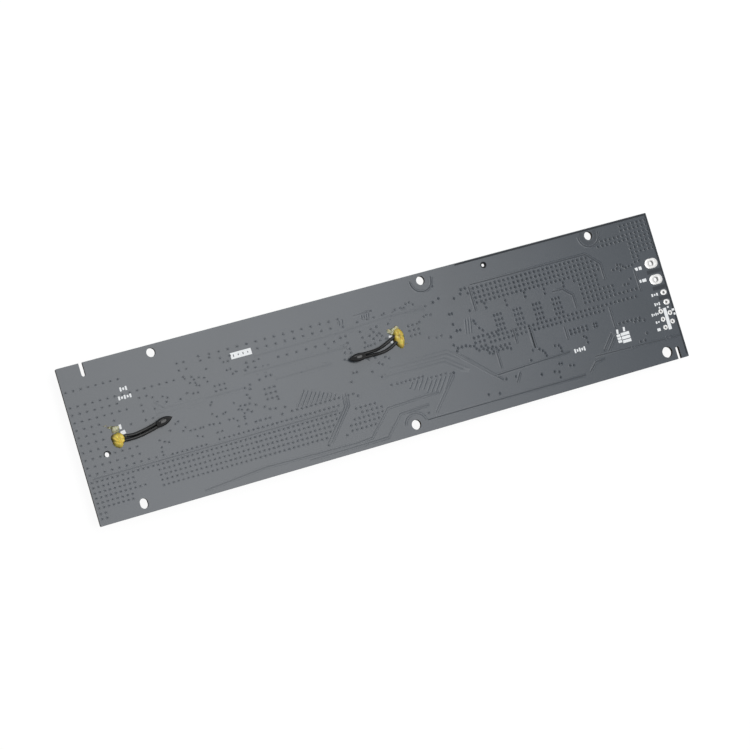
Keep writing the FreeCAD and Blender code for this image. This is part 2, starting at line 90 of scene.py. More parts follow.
def repeated(faces, count, size):
    """The faces of one shape for many, of size points each: shape k adds k * size to each corner number."""
    starts = np.arange(count)[:, None, None] * size
    return [(starts + f[None]).reshape(-1, f.shape[1]) for f in faces]


def copies(points, faces, places):
    """One shape at many places: copy k adds place k to every point."""
    moved = np.asarray(places)[:, None, :] + points[None]
    return moved.reshape(-1, 3), repeated(faces, len(places), len(points))


def raised(flat, height):
    """Flat points with a third number, the height: one for all, or one for each point."""
    return np.concatenate([flat, np.broadcast_to(height, flat.shape[:-1])[..., None]], -1)


def circle(sides, shift=0):
    """Angles of evenly spaced points round a circle, in radians, moved on by a share of one step."""
    return (np.arange(sides) + shift) * 2 * np.pi / sides


def gather(parts):
    """Several (points, faces) as one: each part's corner numbers go up by the points before it."""
    points, faces, start = [], [], 0
    for part_points, part_faces in parts:
        part_points = np.reshape(part_points, (-1, 3))
        points.append(part_points)
        faces += [f + start for f in part_faces]
        start += len(part_points)
    return np.vstack(points), faces


def add_object(name, data):
    """An object in the scene that shows a mesh, a lamp or a camera."""
    made = bpy.data.objects.new(name, data)
    bpy.context.scene.collection.objects.link(made)
    return made


def make_piece(name, points, faces, finish_name, marks=None, crease=40, slot=None):
    """A mesh object of the board's one body, with its finish. slot is not used. marks are named numbers,
    one for each point."""
    slot = slot or finish_name
    mesh = bpy.data.meshes.new(name)
    corners = [corner for group in faces for corner in group.tolist()]
    mesh.from_pydata(np.reshape(points, (-1, 3)).tolist(), [], corners)
    mesh.polygons.foreach_set("use_smooth", np.ones(len(mesh.polygons), bool))
    mesh.set_sharp_from_angle(angle=math.radians(crease))
    for mark, values in (marks or {}).items():
        layer = mesh.attributes.new(mark, "FLOAT", "POINT")
        layer.data.foreach_set("value", np.asarray(values, np.float32).ravel())
    mesh.materials.append(finishes[finish_name])
    piece = add_object(name, mesh)
    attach(piece, "root")
    print(name, len(mesh.vertices), "points", len(corners), "faces")
    return piece


# %% [markdown]
# ## Camera
# The photograph looks down on the soldered face from 0.9 m, from beyond the board's left end, with a
# long lens. A camera was fitted to the board's four corners. Its place, its line of sight and the
# direction of up in the picture are written here in the board's own frame.

# %% Camera
camera_place = Vector((-312.5, -49.0, 871.9 + face / mm)) * mm
sight = Vector((0.3312, 0.049, -0.9423)).normalized()
picture_up = Vector((0.2541, 0.9571, 0.1391))
focal_pixels = 2330
picture_pixels = 750

camera_data = bpy.data.cameras.new("camera")
camera_data.sensor_width = 36
camera_data.sensor_fit = "HORIZONTAL"
camera_data.lens = camera_data.sensor_width * focal_pixels / picture_pixels
camera_data.clip_end = 10
camera = add_object("camera", camera_data)
across = sight.cross(picture_up).normalized()
upward = across.cross(sight)
turn = Matrix((across, upward, -sight)).transposed().to_4x4()
camera.matrix_world = Matrix.Translation(camera_place) @ turn
bpy.context.scene.camera = camera
bpy.context.scene.view_settings.view_transform = "Standard"
print("lens", round(camera_data.lens, 1), "mm")

# %% [markdown]
# ## Finishes
# A finish is a small set of nodes: noise in the object's own coordinates mixes two tones, and the same
# noise makes the roughness and the surface slightly uneven. Tones are written as they look, from 0 to
# 255, and turned into light.

# %% Tones and nodes
def tone(red, green, blue):
    """A screen colour as linear light: ((c + 0.055) / 1.055) ^ 2.4 above the short straight part."""
    share = np.array([red, green, blue]) / 255
    light = np.where(share <= 0.04045, share / 12.92, ((share + 0.055) / 1.055) ** 2.4)
    return (*light.tolist(), 1)


def add_node(tree, kind, feeds=(), **settings):
    """A node with its settings made, and each feed set if it is a value or linked if it is a socket."""
    made = tree.nodes.new(kind)
    for setting, value in settings.items():
        setattr(made, setting, value)
    for socket, value in dict(feeds).items():
        if isinstance(value, bpy.types.NodeSocket):
            tree.links.new(value, made.inputs[socket])
        else:
            made.inputs[socket].default_value = value
    return made


def mixed(tree, share, first, second):
    """The colour between two colours, at a share from 0 to 1."""
    feeds = {0: share, 6: first, 7: second}
    return add_node(tree, "ShaderNodeMix", feeds, data_type="RGBA").outputs[2]


def ranged(tree, value, low, high, to_low, to_high):
    """A value moved from one range to another, and kept inside it."""
    feeds = {"Value": value, "From Min": low, "From Max": high, "To Min": to_low, "To Max": to_high}
    return add_node(tree, "ShaderNodeMapRange", feeds).outputs["Result"]


def noise(tree, grain, stretch=(1, 1, 1), detail=4):
    """Noise with lumps of about a given size, in metres, longer where stretch is under 1."""
    where = add_node(tree, "ShaderNodeTexCoord").outputs["Object"]
    scaled = add_node(tree, "ShaderNodeMapping", {"Vector": where, "Scale": stretch}).outputs["Vector"]
    feeds = {"Vector": scaled, "Scale": 1 / grain, "Detail": detail}
    return add_node(tree, "ShaderNodeTexNoise", feeds).outputs[0]


def math_node(tree, operation, *values):
    """One sum, maximum or the like of one or two values."""
    return add_node(tree, "ShaderNodeMath", dict(enumerate(values)), operation=operation).outputs[0]


def mark(tree, name):
    """A number that the mesh carries at each point."""
    return add_node(tree, "ShaderNodeAttribute", attribute_name=name).outputs["Fac"]


def finish(name, dark, light, grain, rough, metal=0.0, bump=0.0, stretch=(1, 1, 1), **constants):
    """Two tones mixed by noise. Roughness swings by a sixth with it, and bump lifts it, in metres."""
    made = bpy.data.materials.new(name)
    made.use_nodes = True
    tree = made.node_tree
    shader = tree.nodes["Principled BSDF"]
    lumps = noise(tree, grain, stretch)
    share = ranged(tree, lumps, 0.3, 0.7, 0, 1)
    tree.links.new(mixed(tree, share, tone(*dark), tone(*light)), shader.inputs["Base Color"])
    tree.links.new(ranged(tree, lumps, 0.3, 0.7, rough * 0.85, rough * 1.15), shader.inputs["Roughness"])
    shader.inputs["Metallic"].default_value = metal
    for socket, value in constants.items():
        shader.inputs[socket.replace("_", " ")].default_value = value
    if bump:
        lifted = add_node(tree, "ShaderNodeBump", {"Height": lumps, "Strength": 1.0, "Distance": bump})
        tree.links.new(lifted.outputs["Normal"], shader.inputs["Normal"])
    return made


def retoned(made, share, other):
    """Mixes a finish's colour, at a share, with another tone."""
    tree = made.node_tree
    colour = tree.nodes["Principled BSDF"].inputs["Base Color"]
    tree.links.new(mixed(tree, share, colour.links[0].from_socket, other), colour)


# %% [markdown]
# The board's skin is a satin grey solder mask. It pulls thin over copper edges and sinks into the
# small holes. The relief pieces carry a number that darkens it: painted shade in the dimples, the
# channels and the hole mouths, and the dark bare board where the mask is left off. The board's walls
# are cut glass fibre: brown-grey, in fine layers, told apart by their normals.

# %% Finish of the board
def solder_mask():
    """Mask tone by slow noise, darkened by one number on the mesh: painted shade in hollows, and bare
    board. On walls, layers of fibre: a wave along Z.
    """
    satin = 0.28
    made = finish("solder_mask", (52, 59, 66), (55, 62, 70), 24 * mm, satin, Specular_IOR_Level=0.45)
    tree = made.node_tree
    # Painted shade in dimples, channels and hole mouths, and the dark bare board, all from one number
    sunken = mark(tree, "sunken")
    retoned(made, ranged(tree, sunken, 0, 1, 0, 0.86), tone(12, 13, 15))
    normal = add_node(tree, "ShaderNodeNewGeometry").outputs["Normal"]
    upward = add_node(tree, "ShaderNodeSeparateXYZ", {"Vector": normal}).outputs["Z"]
    flat = math_node(tree, "ABSOLUTE", upward)
    layers = noise(tree, 0.9 * mm, (0.12, 0.12, 6))
    fibre = mixed(tree, ranged(tree, layers, 0.3, 0.7, 0, 1), tone(30, 30, 28), tone(66, 62, 54))
    retoned(made, ranged(tree, flat, 0.2, 0.4, 1, 0), fibre)
    on_walls = ranged(tree, flat, 0.2, 0.4, 1, satin)
    in_holes = ranged(tree, sunken, 0, 1, satin, 1)
    lumps = {"Height": noise(tree, 0.5 * mm), "Strength": 1.0, "Distance": 0.012 * mm}
    lifted = add_node(tree, "ShaderNodeBump", lumps).outputs["Normal"]
    inputs = tree.nodes["Principled BSDF"].inputs
    tree.links.new(math_node(tree, "MAXIMUM", on_walls, in_holes), inputs["Roughness"])
    tree.links.new(lifted, inputs["Normal"])
    return made


def tinned_copper():
    """Bright tin, darkened by painted shade where the plating goes down into a hole, as a number on the
    mesh says.
    """
    made = finish("tinned_copper", (208, 208, 206), (222, 222, 221), 0.8 * mm, 0.34, 0.25, 0.01 * mm)
    # Painted shade where the plating goes down into a hole
    retoned(made, mark(made.node_tree, "sunken"), tone(70, 72, 74))
    return made


def fixing_glue():
    """Yellow glue. Where the number thin is 1 it is a pale smear, and where rim is 1 it is dark olive: the
    glue's own tint, with painted shade at the outline and in the folds.
    """
    made = finish("fixing_glue", (200, 170, 50), (244, 222, 104), 1.6 * mm, 0.24, bump=0.04 * mm,
                  Subsurface_Weight=0.2, Subsurface_Scale=0.6 * mm)
    tree = made.node_tree
    speckle = ranged(tree, noise(tree, 1.1 * mm), 0.3, 0.7, 0, 1)
    smear = mixed(tree, speckle, tone(122, 124, 92), tone(214, 215, 182))
    retoned(made, mark(tree, "thin"), smear)
    # rim: the glue's own olive tint, with painted shade at the outline and in the folds
    retoned(made, mark(tree, "rim"), tone(62, 56, 22))
    return made


def can_aluminium():
    """Bright drawn aluminium, with a dark printed field on its end where the number sector is 1."""
    drawn = (1, 1, 0.1)
    made = finish("can_aluminium", (196, 197, 199), (222, 223, 225), 0.5 * mm, 0.3, 0.9, 0.004 * mm, drawn)
    retoned(made, mark(made.node_tree, "sector"), tone(20, 20, 22))
    return made


# Dark tone, light tone, grain in mm, roughness, share of metal, bump in mm
plain_finishes = {
    "black_sleeve": ((3, 4, 4), (9, 10, 11), 0.6, 0.24, 0.0, 0.02),
    "bead_epoxy": ((4, 4, 5), (10, 10, 12), 1.5, 0.09, 0.0, 0.015),
    "moulding_compound": ((34, 35, 37), (52, 53, 55), 0.12, 0.6, 0.0, 0.012),
    "lead_frame": ((176, 176, 174), (206, 206, 203), 0.3, 0.36, 0.85, 0.006),
    "resistor_film": ((22, 22, 26), (38, 38, 43), 0.3, 0.34, 0.0, 0.01),
    "capacitor_ceramic": ((146, 116, 84), (172, 142, 106), 0.25, 0.5, 0.0, 0.008),
    "base_plastic": ((18, 18, 19), (30, 30, 32), 0.3, 0.5, 0.0, 0.01),
    "ferrite": ((62, 63, 66), (92, 93, 96), 0.18, 0.55, 0.1, 0.012),
    "copper_wire": ((150, 78, 40), (192, 110, 62), 0.6, 0.3, 0.7, 0.004),
    "fuse_ceramic": ((206, 204, 196), (228, 226, 220), 0.4, 0.5, 0.0, 0.006),
    "white_print": ((218, 222, 225), (238, 240, 241), 0.5, 0.5, 0.0, 0.004),
}
gloss = {
    "black_sleeve": {"Specular_IOR_Level": 0.22},
    "bead_epoxy": {"Specular_IOR_Level": 0.16, "Coat_Weight": 0.3, "Coat_Roughness": 0.03},
}
finishes = {
    "solder_mask": solder_mask(), "tinned_copper": tinned_copper(), "fixing_glue": fixing_glue(),
    "can_aluminium": can_aluminium(),
}
for name, (dark, light, grain, rough, metal, bump) in plain_finishes.items():
    finishes[name] = finish(name, dark, light, grain * mm, rough, metal, bump * mm, **gloss.get(name, {}))
slot_of = {row["node"]: row["material_slot"] for row in frame["record"]["subparts"]}
for name, node in frame["nodes"].items():
    node.data.materials.clear()
    node.data.materials.append(finishes[slot_of[name]])
print(len(finishes), "finishes on", len(frame["nodes"]), "nodes")

# %% [markdown]
# ## Small plated holes
# Hundreds of small plated holes, called vias, join the copper of the two faces. The mask covers them,
# and leaves a low rim round a dimple that is dark with painted shade. One rim is a short profile
# turned about its axis, and numpy copies it to every place. Most places are rows.

# %% Shape of one via
via_sides = 10
via_profile = np.array([(0.2, 0.002), (0.28, 0.016), (0.42, 0.07), (0.74, -0.004)]) * mm
# How far painted shade darkens each ring of the profile, most in the dimple
via_shade = np.array([1.0, 0.8, 0.12, 0.0])


def turned(profile, sides):
    """Points of a profile of (radius, height) turned about Z: (r cos a, r sin a, z)."""
    angle = circle(sides)
    radius, height = profile[:, :1], profile[:, 1:]
    return np.stack([radius * np.cos(angle), radius * np.sin(angle), height + 0 * angle], -1).reshape(-1, 3)


def rows(pitch, *runs):
    """Rows of places along X, each from first to last at a height, in millimetres. They are evenly
    spaced, with a pitch as near the given one as fits."""
    parts = []
    for first, last, height in runs:
        count = 1 + round(abs(last - first) / pitch)
        parts.append(np.column_stack([np.linspace(first, last, count), np.full(count, height)]))
    return np.vstack(parts)


def cluster(x, y, columns, lines, pitch_x, pitch_y):
    """A block of places about a middle."""
    across = (np.arange(columns) - (columns - 1) / 2) * pitch_x + x
    down = (np.arange(lines) - (lines - 1) / 2) * pitch_y + y
    return np.stack(np.meshgrid(across, down), -1).reshape(-1, 2)


# %% Places of the vias in rows
fine = rows(
    2.0,
    (-100.9, -24.7, -14.4), (-100.9, -26.7, -16.4), (-100.9, -28.6, -18.4), (-100.9, -30.6, -20.4),
    (-100.9, -32.9, -22.5), (-127.6, -102.8, -14.3), (-127.6, -111.6, -16.4), (-127.6, -111.6, -18.4),
    (-127.6, -107.9, -20.4), (-127.6, -113.6, -22.4), (-127.6, -113.9, -24.3), (-127.6, -125.6, -26.5),
    (-127.6, -125.6, -28.5), (-94.3, -80.4, -12.0), (-74.7, -24.5, -11.4), (-41.2, -17.3, -8.5),
    (-17.8, -9.7, -14.4), (-15.7, -7.3, -16.4), (-19.6, -7.5, -18.4), (-21.8, -9.7, -20.4),
    (-21.8, -11.7, -22.5), (1.8, 13.0, -9.4), (16.4, 22.8, -10.7), (24.6, 26.2, -11.4),
)
right_end = rows(
    2.0,
    (44.6, 96.6, 19.5), (44.6, 98.6, 17.5), (44.6, 100.6, 15.5), (44.6, 100.6, 13.5), (88.6, 98.6, 11.5),
    (90.6, 98.6, 9.5), (90.6, 98.6, 7.5), (90.6, 104.6, 5.5), (90.6, 104.6, 3.5), (90.6, 114.6, 1.6),
    (45.5, 113.5, -1.4), (45.5, 97.5, -3.4), (115.7, 127.6, 28.5), (115.7, 127.6, 26.6),
    (105.6, 127.6, 24.4), (103.5, 127.6, 22.5), (117.6, 127.6, 20.5), (117.6, 127.6, 18.5),
    (117.6, 127.6, 16.5), (117.6, 119.6, 14.6), (117.6, 119.6, 12.6), (102.6, 112.2, -10.4),
    (39.6, 45.6, -5.4), (43.6, 51.6, -7.5), (80.5, 88.0, -7.7), (80.5, 88.0, -9.1),
)
left_end = rows(
    2.98,
    (-127.6, -106.7, 21.4), (-127.6, -85.7, 15.3), (-127.6, -109.7, 12.4), (-127.6, -106.6, 9.3),
    (-127.6, -118.6, 6.4), (-127.6, -118.6, 3.5), (-127.6, -118.6, 0.5), (-127.6, -118.6, -2.5),
    (-127.6, -121.6, -5.5), (-115.7, -106.8, -5.5), (-127.6, -106.6, -8.5), (-127.6, -97.8, -11.4),
)
taps = rows(4.03, (-69.1, -14.6, 21.6), (-65.4, -61.4, 18.9), (-49.8, -18.5, 18.8), (-38.8, -18.6, 13.4))
heat = [cluster(51.6 + 8.9 * step, 3.5, 3, 4, 1.5, 2.05) for step in range(4)]
heat += [cluster(x, y, 3, 3, 2.0, 2.05) for x, y in ((-68.6, 6.9), (-49.6, 0.6), (15.1, 9.6))]
slanted = cluster(45.0, -1.0, 8, 9, 2.02, 2.02) + np.array([1.0, 0.9])
slanted = slanted[(slanted.sum(axis=1) > 36.0) & (slanted[:, 0] < 54) & (slanted[:, 1] < 0.9)]

# %% Places of the vias that stand alone
# x and y of each, one after the other, in tenths of a millimetre
lone = np.reshape([
    -958, -66, -943, -72, -979, -101, -976, -84, -976, -56, -926, -31, -898, -11, -886, -5, -876, -45,
    -864, -34, -1007, 123, -977, 123, -1007, 93, -1006, 70, -956, 112, -917, 104, -900, 95, -944, 89,
    -908, 80, -851, 76, -927, 66, -960, 67, -1126, 63, -1066, 34, -1006, 34, -976, 34,
    -747, -12, -733, -27, -704, -23, -694, -20, -629, -11, -610, -13, -592, -13, -640, -23, -628, -27,
    -568, -23, -605, -34, -621, -43, -592, -45, -536, -40, -626, -55, -626, -64, -657, -64, -496, -15,
    -477, -14, -473, -25, -518, -54, -495, -58, -457, -62, -848, -52, -829, -52, -808, -52, -796, -52,
    -770, -50, -753, -52, -728, -54, -688, -51, -670, -52, -828, -79, -808, -86, -747, -87, -728, -86,
    -658, -86, -627, -85, -587, -87, -569, -86, -546, -86, -527, -87, -476, -86, -434, -84, -694, -275,
    -827, 213, -799, 212, -736, 219, -732, 200, -695, 203, -826, 184, -796, 183, -645, 171, -627, 170,
    -720, 163, -817, 156, -813, 147, -785, 148, -778, 136, -757, 138, -737, 132, -797, 127, -777, 121,
    -774, 112, -765, 108, -728, 114, -641, 137, -626, 138, -607, 123, -622, 117, -558, 145, -526, 143,
    -504, 147, -569, 117, -556, 127, -527, 118, -496, 114, -474, 113, -426, 134, -527, 93, -494, 93,
    -525, 67, -496, 73, -476, 73, -820, 92, -796, 84, -777, 83, -592, 51, -568, 59, -572, 42, -592, 23,
    -584, 8, -743, 23, -736, 33, -651, 6,
    -155, -98, -146, -6, -131, -6, -165, -38, -69, -21, -19, -4, -36, -51, -7, -92, -329, -253,
    -273, -275, -316, -291, -245, -236,
    -133, 182, -70, 185, -26, 186, 2, 186, -3, 215, -37, 214, -216, 113, -157, 142, -134, 143, -134, 116,
    -155, 108, -132, 90, -156, 80, -132, 74, -165, 54, -353, 53, -247, 60, -71, 145, -24, 144, 1, 147,
    -68, 120, -37, 119, -16, 130, -6, 114, 6, 119, -24, 104, -63, 98, 13, 106, -70, 79, -42, 81, -25, 84,
    -55, 81, 1, 91, 28, 92, 1, 22, 16, 12, -69, 30, -40, 30, -31, 5, 110, -240, 146, -244, 296, -7,
    310, -22, 328, -22, 346, -22, 363, -28, 303, -33, 380, -33, 387, -45, 380, -236, 428, -244,
    38, 187, 48, 190, 65, 164, 74, 176, 85, 186, 97, 194, 122, 195, 137, 193, 148, 204, 164, 207, 177, 195,
    138, 177, 178, 176, 128, 183, 226, 176, 235, 176, 263, 182, 290, 191, 355, 175, 387, 186, 394, 202,
    413, 203, 420, 181, 207, 138, 220, 141, 237, 137, 316, 118, 327, 118, 319, 75, 327, 46, 342, 46,
    257, 44, 235, 42, 203, 49, 294, 28, 183, 121, 53, 146, 405, 111, 409, 67, 413, 54, 424, 33, 436, 21,
    279, 247,
    601, -150, 609, -150, 620, -113, 650, -115, 663, -126, 670, -137, 673, -150, 720, -120, 737, -123,
    743, -135, 744, -149, 856, -115, 865, -123, 866, -143, 473, -195, 516, -197, 716, -195, 727, -197,
    760, -214, 776, -217, 686, -221, 706, -227, 704, -250, 628, -217, 876, -230, 504, -76, 517, -77,
    530, -78, 476, 124, 478, 105, 567, 113, 568, 93, 657, 124, 657, 106, 746, 116, 745, 97, 836, 120,
    834, 105, 915, -77, 926, -77, 915, -89, 926, -89, 1098, -114, 1118, -114, 1140, -119, 1135, -173,
    1134, -180, 1097, -200, 1118, -200, 1055, -214, 1070, -212, 1217, -213, 1235, -214, 1095, 132,
    1108, 130, 1118, 120, 1128, 112, 1088, 118, 1103, 107, 1143, 115, 1159, 116, 1070, 116, 1100, 45,
    1117, 44, 1135, 63,
], (-1, 2)) / 10

# %% Make the vias of the soldered face
closest = 0.9
via_places = np.vstack([fine, right_end, left_end, taps, *heat, slanted, lone])
steps = np.linalg.norm(via_places[:, None] - via_places[None], axis=2)
via_places = via_places[~np.any(np.tril(steps < closest, -1), axis=1)] * mm
print(len(via_places), "vias")
via_faces = tube_faces(len(via_profile), via_sides)
# Low x and high x in millimetres, size of the rim, and how dark the painted shade in the dimple is
via_zones = [
    (-129, -62, (0.88, 0.88, 0.85), 0.45), (-62, 26, (1, 1, 1), 0.4),
    (26, 62, (1.06, 1.06, 1.2), 0.55), (62, 129, (1.13, 1.13, 1.4), 0.72),
]
parts, sunken = [], []
for low, high, size, depth in via_zones:
    places = via_places[(via_places[:, 0] > low * mm) & (via_places[:, 0] <= high * mm)]
    parts.append(copies(turned(via_profile, via_sides) * size, via_faces, raised(places, face)))
    sunken.append(np.tile(np.repeat(via_shade * depth, via_sides), len(places)))
make_piece("stitching_vias", *gather(parts), "solder_mask", {"sunken": np.concatenate(sunken)})

# %% [markdown]
# ## Copper edges under the mask
# Copper is cut away along narrow channels between nets. The mask dips into a channel and swells over
# the two copper edges, so it shows as a line between two soft lips, with painted shade along the
# channel's floor. A single track is a low ridge instead. Both are a closed cross-section carried
# along a flat path, with mitred corners.

# %% Cross-sections carried along paths
channel_section = np.array([
    (-0.7, -0.004), (-0.3, 0.085), (-0.07, 0.006), (0.07, 0.006), (0.3, 0.085), (0.7, -0.004)
]) * mm
# Painted shade in the bottom of the channel
channel_shade = np.array([0, 0, 0.5, 0.5, 0, 0])
track_section = np.array([(-0.46, -0.004), (-0.14, 0.085), (0.14, 0.085), (0.46, -0.004)]) * mm


def ribbon(path, section, level, up=1, fade=0.0):
    """A cross-section (offset, height) carried along a flat path, in millimetres. The offset runs along
    the mitre, side / (side . normal of the run), so that the ribbon keeps its width at a corner. Over
    the length fade at each end, or 0.9 of the end run if that is less, the height goes down to nothing."""
    path = np.asarray(path, float) * mm
    full = np.ones(len(path))
    if fade:
        steps = np.array([path[1] - path[0], path[-2] - path[-1]])
        steps *= np.minimum(fade / np.linalg.norm(steps, axis=1, keepdims=True), 0.9)
        path = np.vstack([path[:1], path[0] + steps[0], path[1:-1], path[-1] + steps[1], path[-1:]])
        full = np.concatenate([[0], np.ones(len(path) - 2), [0]])
    runs = np.diff(path, axis=0)
    runs /= np.linalg.norm(runs, axis=1, keepdims=True)
    before, after = np.vstack([runs[:1], runs]), np.vstack([runs, runs[-1:]])
    middle = before + after
    middle /= np.linalg.norm(middle, axis=1, keepdims=True)
    stretch = 1 / np.sum(middle * before, axis=1)
    side = np.column_stack([-middle[:, 1], middle[:, 0]]) * stretch[:, None]
    offset, height = (section if up > 0 else section[::-1]).T
    flat = path[:, None] + side[:, None] * offset[:, None]
    return raised(flat, level + up * (height * full[:, None])), tube_faces(*flat.shape[:2])


def ribbons(name, paths, section, sunken, level, up=1, fade=0.6 * mm):
    """One piece from many ribbons of the same cross-section."""
    parts = [ribbon(path, section, level, up, fade) for path in paths]
    marks = {"sunken": np.concatenate([np.tile(sunken, len(points)) for points, faces in parts])}
    return make_piece(name, *gather(parts), "solder_mask", marks)


def arc(x, y, radius, start, end, steps=24):
    """Points on a circle about (x, y), from one angle to another, in degrees."""
    angle = np.radians(np.linspace(start, end, steps))
    return [(x + radius * math.cos(a), y + radius * math.sin(a)) for a in angle]


# %% Channels of the soldered face
channels = [
    [(43.2, 10.2), (43.2, 20.6)], [(46.9, -6.8), (46.9, -15.0)], [(56.5, -0.6), (56.5, -7.0)],
    [(78.7, -5.5), (78.7, -11.2)], [(100.6, -2.5), (100.6, -12.0)],
    [(102.4, 8.5), (102.4, 15.6), (97.0, 21.0), (44.0, 21.2)],
    [(86.4, 0.2), (86.4, 6.2), (82.6, 9.6), (78, 9.6)], [(116.5, 0), (116.5, 9.6)],
    [(-21.5, -7.6), (-21.9, -12.7), (-33.1, -25.0)], [(-20.0, -7.2), (-20.4, -12.3), (-31.5, -25.0)],
    [(-86, -29.0), (-60, -26.8), (-22.0, -27.7), (-14.6, -27.2), (-5.0, -17.6), (12.0, -17.0),
     (18.0, -17.2)],
    [(-42, -29.0), (-8.2, -28.9), (-0.6, -21.2), (12.4, -20.9)],
    [(26.4, -11.6), (14.0, -25.0)], [(28.4, -3.5), (35.0, -9.5), (43.0, -17.0), (78.0, -16.0)],
    [(30.4, -4.6), (36.0, -9.8), (46.2, -19.6)],
    [(-127, -13.1), (-100, -13.1), (-76, -13.2), (-25, -13.2)], [(10.0, -26.6), (81.7, -26.9)],
    [(88.0, -20.6), (128, -21.9)], [(-8.0, 21.4), (-0.8, 21.4)],
    [(83.9, -26.4), (87.6, -23.0), (92, -22.7)], [(54.4, -18.2), (51.6, -22.2)],
    [(92.6, -19.6), (98.4, -13.2)], [(94.6, -20.2), (99.6, -14.6)],
    arc(24.0, 28.1, 4.6, 172, 368), arc(100.8, 28.1, 4.6, 172, 368),
    arc(4.8, -27.2, 4.6, 10, 170),
]
right_part = 22
# depth: how dark the painted shade in the channels is, stronger in the right half
for name, size, depth, right in (
    ("left_channels", (1.15, 1.2), 0.3, False), ("right_channels", (1.1, 1.3), 1.0, True)
):
    group = [path for path in channels if (np.mean(path, axis=0)[0] > right_part) == right]
    ribbons(name, group, channel_section * size, channel_shade * depth, face, fade=1.0 * mm)
# The deepest channel carries twice the painted shade
deepest = [[(63.6, -1.6), (63.6, -10.6)]]
ribbons("deep_channel", deepest, channel_section * (1.5, 1.25), channel_shade * 2, face, fade=0.5 * mm)

# %% Soft edges of the buried copper
soft_edges = [
    [(0, -2.6), (25.8, -2.8), (31.0, -6.6)], [(-2.0, -5.4), (24.0, -5.6), (33.0, -12.4)],
    [(-96, 4.4), (-75, 4.4)], [(-58, 10.2), (-14, 10.0)], [(-52, 16.2), (-14, 16.2), (-8, 16.8)],
    [(-46, 5.2), (-22, 5.2)],
    [(-10, 16.6), (6, 17.4), (22, 17.0)], [(-96, 9.2), (-92, 5.6), (-60, 5.2)],
]
# A faint painted shade lies along these soft edges too
ribbons("soft_edges", soft_edges, channel_section * (2.0, 0.85), channel_shade * 0.12, face, fade=3.0 * mm)

# %% [markdown]
# Where the mask is left off, the bare board is dark. Such fields are strips 0.005 mm high: between the
# wire lands, along the margin, and round a screw hole. The dark arc round a peg hole is painted
# shade, where the hole's wall is in shadow. The upper peg hole has a lip that leads down into it,
# dark with painted shade.

# %% Bare fields
field_section = np.array([(-1.0, -0.004), (-0.6, 0.005), (0.6, 0.005), (1.0, -0.004)]) * mm
field_bare_and_shade = np.array([0, 1, 1, 0])
gaps = [[(121.6, 6.7), (128.0, 6.7)], [(122.0, -0.4), (128.0, -0.4)], [(123.4, -4.9), (128.0, -4.9)]]
for name, paths, size, depth in (
    ("bare_between_lands", gaps, (1.15, 0.8), 0.6),
    ("bare_margin", [[(128.4, -30.0), (128.4, 30.6), (40.0, 30.6)]], (0.45, 1.3), 0.75),
    ("bare_screw_ring", [arc(100.8, 28.1, 3.2, 150, 390)], (1.15, 1.0), 0.35),
    # The arc round the peg hole is painted shade: the hole's wall in shadow
    ("bare_peg_ring", [arc(-118.8, -5.4, 1.26, -15, 205)], (0.26, 1.3), 0.95),
):
    ribbons(name, paths, field_section * size, field_bare_and_shade * depth, face)

# %% Lip of the upper peg hole, dark with painted shade
lip_sides = 40
lip_profile = np.array([
    (1.36, -0.01), (1.34, 0.02), (1.02, 0.02), (0.8, -0.25), (0.62, -0.7), (0.62, -0.9), (0.99, -1.3)
]) * mm
lip = turned(lip_profile, lip_sides) + (52.2 * mm, 27.575 * mm, face)
lip_faces = grid_faces(len(lip_profile), lip_sides, loop_columns=True)[:, ::-1]
# Painted shade darkens the whole lip as it goes down into the hole
make_piece("peg_hole_lip", lip, [lip_faces], "solder_mask", {"sunken": np.ones(len(lip))})

# %% Fans of thin tracks
slope = np.array([0.62, 0.78])


def slanted_track(start, length):
    """Two points: the start, and the start plus a length along the slope that all the fans share."""
    return [start, tuple(np.array(start) + length * slope)]


fan = [slanted_track((x, -7.9), (6.8 - 0.395 * (x + 37)) / 1.025) for x in np.linspace(-41.2, -25.2, 9)]
for y, first, last, lengths in (
    (-10.0, 8.5, 15.2, (3.4, 4.6, 5.4, 6.0)), (-11.4, 16.6, 24.8, (6.2, 6.6, 7.4, 7.8, 7.0))
):
    starts = np.linspace(first, last, len(lengths))
    fan += [slanted_track((x, y), -length) for x, length in zip(starts, lengths)]
fan += [[(x, 21.3), (x - 0.5, 18.8)] for x in (-14.2, -12.8, -4.4, -3.4, -2.4, -1.4)]
fan += [[(x, 2.2), (x + 1.4, 8.6)] for x in (36.2, 37.4, 38.6)]
ribbons("thin_tracks", fan, track_section, np.zeros(4), face)

# %% [markdown]
# ## White print
# The print on a board is ink about 0.02 mm thick. Lettering is left out. Its places hold plain bars
# and ticks of the same size, so the picture keeps its bright accents.

# %% Printed bars
print_height = 0.02 * mm


def bars(name, rectangles, ink, level):
    """Flat boxes, each given as middle x, middle y, length, width and turn in degrees, in millimetres."""
    x, y, length, width, turn = np.array(rectangles, float).T[:, :, None]
    along, across = square[:, 0] / 2 * length, square[:, 1] / 2 * width
    cos, sin = np.cos(np.radians(turn)), np.sin(np.radians(turn))
    flat = np.stack([x + along * cos - across * sin, y + along * sin + across * cos], -1) * mm
    points = np.stack([raised(flat, level + print_height), raised(flat, level - print_height / 2)], 1)
    return make_piece(name, points, repeated(tube_faces(2, 4), len(points), 8), ink, slot="solder_mask")


def label(x, y, length, height, bits):
    """A place where lettering would be: short bars side by side, every second one lower."""
    step = length / bits
    places = (np.arange(bits) - (bits - 1) / 2) * step + x
    return [(place, y, step * 0.62, height * (0.6 if n % 2 else 1), 0) for n, place in enumerate(places)]


